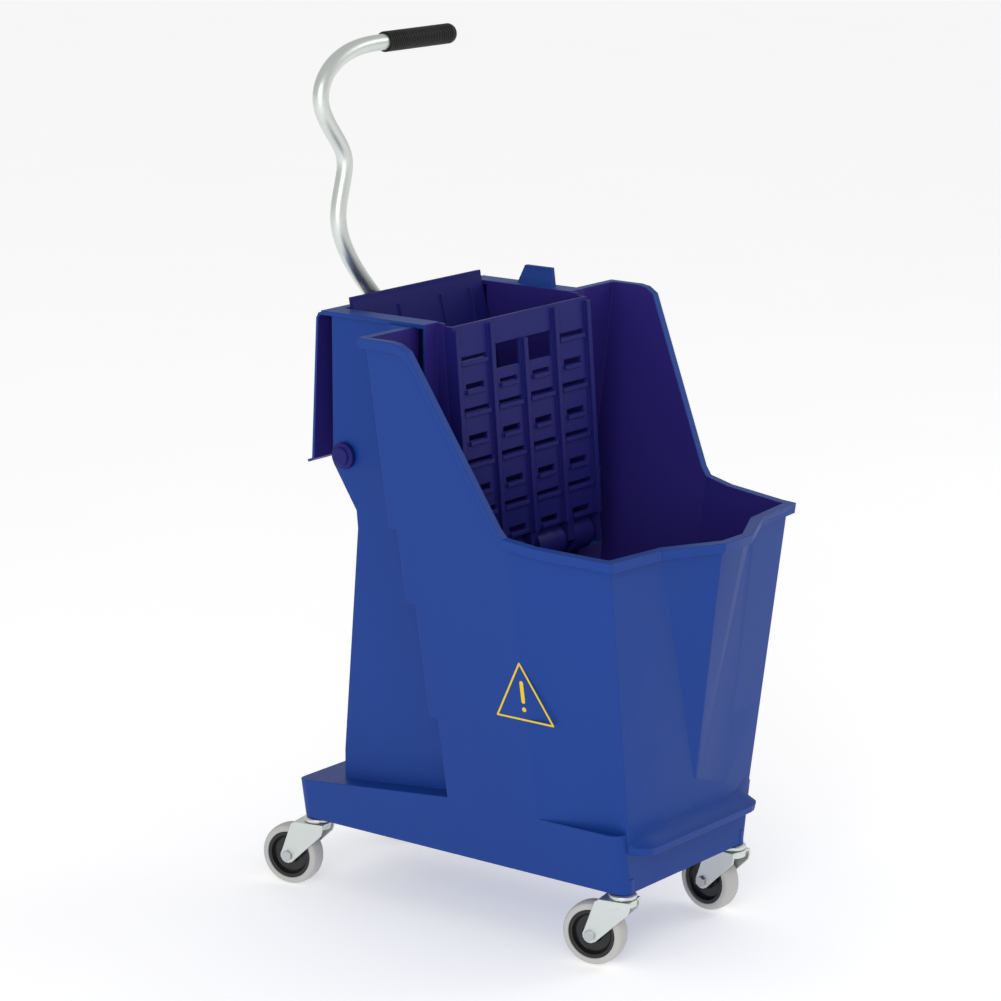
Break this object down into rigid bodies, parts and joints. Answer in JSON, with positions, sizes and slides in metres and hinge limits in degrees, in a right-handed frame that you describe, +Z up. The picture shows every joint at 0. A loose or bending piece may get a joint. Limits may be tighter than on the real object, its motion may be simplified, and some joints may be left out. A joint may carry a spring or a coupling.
{
  "type": "mop bucket with press wringer",
  "caption": "Upright rectangular mop bucket with a pouring spout, a built-in downward press wringer worked by a bent steel lever, and trailing swivel casters.",
  "frame": {"origin": "on the floor, under the middle of the object's bounding box", "axes": "+Z up; -Y towards the pouring spout and +Y towards the wringer and lever; -X is the side that carries the safety sign"},
  "size_m": [0.4896, 0.614, 1.0472],
  "materials": {
    "blue_plastic": "moulded polyethylene, fine grain, soft sheen",
    "navy_plastic": "moulded polypropylene, fine grain",
    "zinc_plate": "bright zinc plate",
    "bright_steel": "plain bright steel",
    "black_grip": "ribbed soft vinyl",
    "black_plastic": "glossy moulded wheel centre",
    "grey_tyre": "non-marking grey tread, matt"
  },
  "bodies": {
    "tub": {"bucket_body": "blue_plastic", "wringer_frame": "blue_plastic", "fixed_jaw": "navy_plastic", "jaw_hinge_pin": "bright_steel", "hinge_pin_clip_right": "bright_steel", "hinge_pin_clip_left": "bright_steel", "lever_spring_right": "bright_steel", "lever_spring_left": "bright_steel", "caster_front_right_stem": "bright_steel", "caster_front_right_cup": "zinc_plate", "caster_front_left_stem": "bright_steel", "caster_front_left_cup": "zinc_plate", "caster_rear_right_stem": "bright_steel", "caster_rear_right_cup": "zinc_plate", "caster_rear_left_stem": "bright_steel", "caster_rear_left_cup": "zinc_plate"},
    "lever": {"pivot_axle": "bright_steel", "axle_knob_right": "navy_plastic", "axle_knob_left": "navy_plastic", "lever_socket": "zinc_plate", "lever_tube": "zinc_plate", "lever_grip": "black_grip", "lever_bolt_1": "bright_steel", "lever_bolt_2": "bright_steel", "lever_nut_1": "bright_steel", "lever_nut_2": "bright_steel"},
    "jaw": {"moving_jaw": "navy_plastic"},
    "fork_front_right": {"caster_front_right_fork": "zinc_plate", "caster_front_right_axle": "bright_steel", "caster_front_right_nut": "bright_steel"},
    "wheel_front_right": {"caster_front_right_hub": "black_plastic", "caster_front_right_tyre": "grey_tyre"},
    "fork_front_left": {"caster_front_left_fork": "zinc_plate", "caster_front_left_axle": "bright_steel", "caster_front_left_nut": "bright_steel"},
    "wheel_front_left": {"caster_front_left_hub": "black_plastic", "caster_front_left_tyre": "grey_tyre"},
    "fork_rear_right": {"caster_rear_right_fork": "zinc_plate", "caster_rear_right_axle": "bright_steel", "caster_rear_right_nut": "bright_steel"},
    "wheel_rear_right": {"caster_rear_right_hub": "black_plastic", "caster_rear_right_tyre": "grey_tyre"},
    "fork_rear_left": {"caster_rear_left_fork": "zinc_plate", "caster_rear_left_axle": "bright_steel", "caster_rear_left_nut": "bright_steel"},
    "wheel_rear_left": {"caster_rear_left_hub": "black_plastic", "caster_rear_left_tyre": "grey_tyre"}
  },
  "joints": [
    {"name": "lever_pivot", "type": "hinge", "parent": "tub", "child": "lever", "pos_m": [0, 0.15106, 0.561], "axis": [1, 0, 0], "range_deg": [0, 32], "stiffness_Nm_per_rad": 2, "springref_deg": -28.65},
    {"name": "jaw_hinge", "type": "hinge", "parent": "tub", "child": "jaw", "pos_m": [0, 0.00806, 0.44], "axis": [1, 0, 0], "range_deg": [0, 24]},
    {"name": "swivel_front_right", "type": "hinge", "parent": "tub", "child": "fork_front_right", "pos_m": [-0.112, -0.22794, 0.088], "axis": [0, 0, 1], "continuous": true},
    {"name": "spin_front_right", "type": "hinge", "parent": "fork_front_right", "child": "wheel_front_right", "pos_m": [-0.11904, -0.19396, 0.0381], "axis": [0.9792, 0.2028, 0], "continuous": true},
    {"name": "swivel_front_left", "type": "hinge", "parent": "tub", "child": "fork_front_left", "pos_m": [0.112, -0.22794, 0.088], "axis": [0, 0, 1], "continuous": true},
    {"name": "spin_front_left", "type": "hinge", "parent": "fork_front_left", "child": "wheel_front_left", "pos_m": [0.11587, -0.19346, 0.0381], "axis": [0.9938, -0.1115, 0], "continuous": true},
    {"name": "swivel_rear_right", "type": "hinge", "parent": "tub", "child": "fork_rear_right", "pos_m": [-0.112, 0.23406, 0.088], "axis": [0, 0, 1], "continuous": true},
    {"name": "spin_rear_right", "type": "hinge", "parent": "fork_rear_right", "child": "wheel_rear_right", "pos_m": [-0.11868, 0.26811, 0.0381], "axis": [0.9813, 0.1925, 0], "continuous": true},
    {"name": "swivel_rear_left", "type": "hinge", "parent": "tub", "child": "fork_rear_left", "pos_m": [0.112, 0.23406, 0.088], "axis": [0, 0, 1], "continuous": true},
    {"name": "spin_rear_left", "type": "hinge", "parent": "fork_rear_left", "child": "wheel_rear_left", "pos_m": [0.10958, 0.26867, 0.0381], "axis": [0.9976, 0.0698, 0], "continuous": true}
  ],
  "couplings": [
    {"joint": "jaw_hinge", "follows": "lever_pivot", "ratio": 0.75}
  ]
}
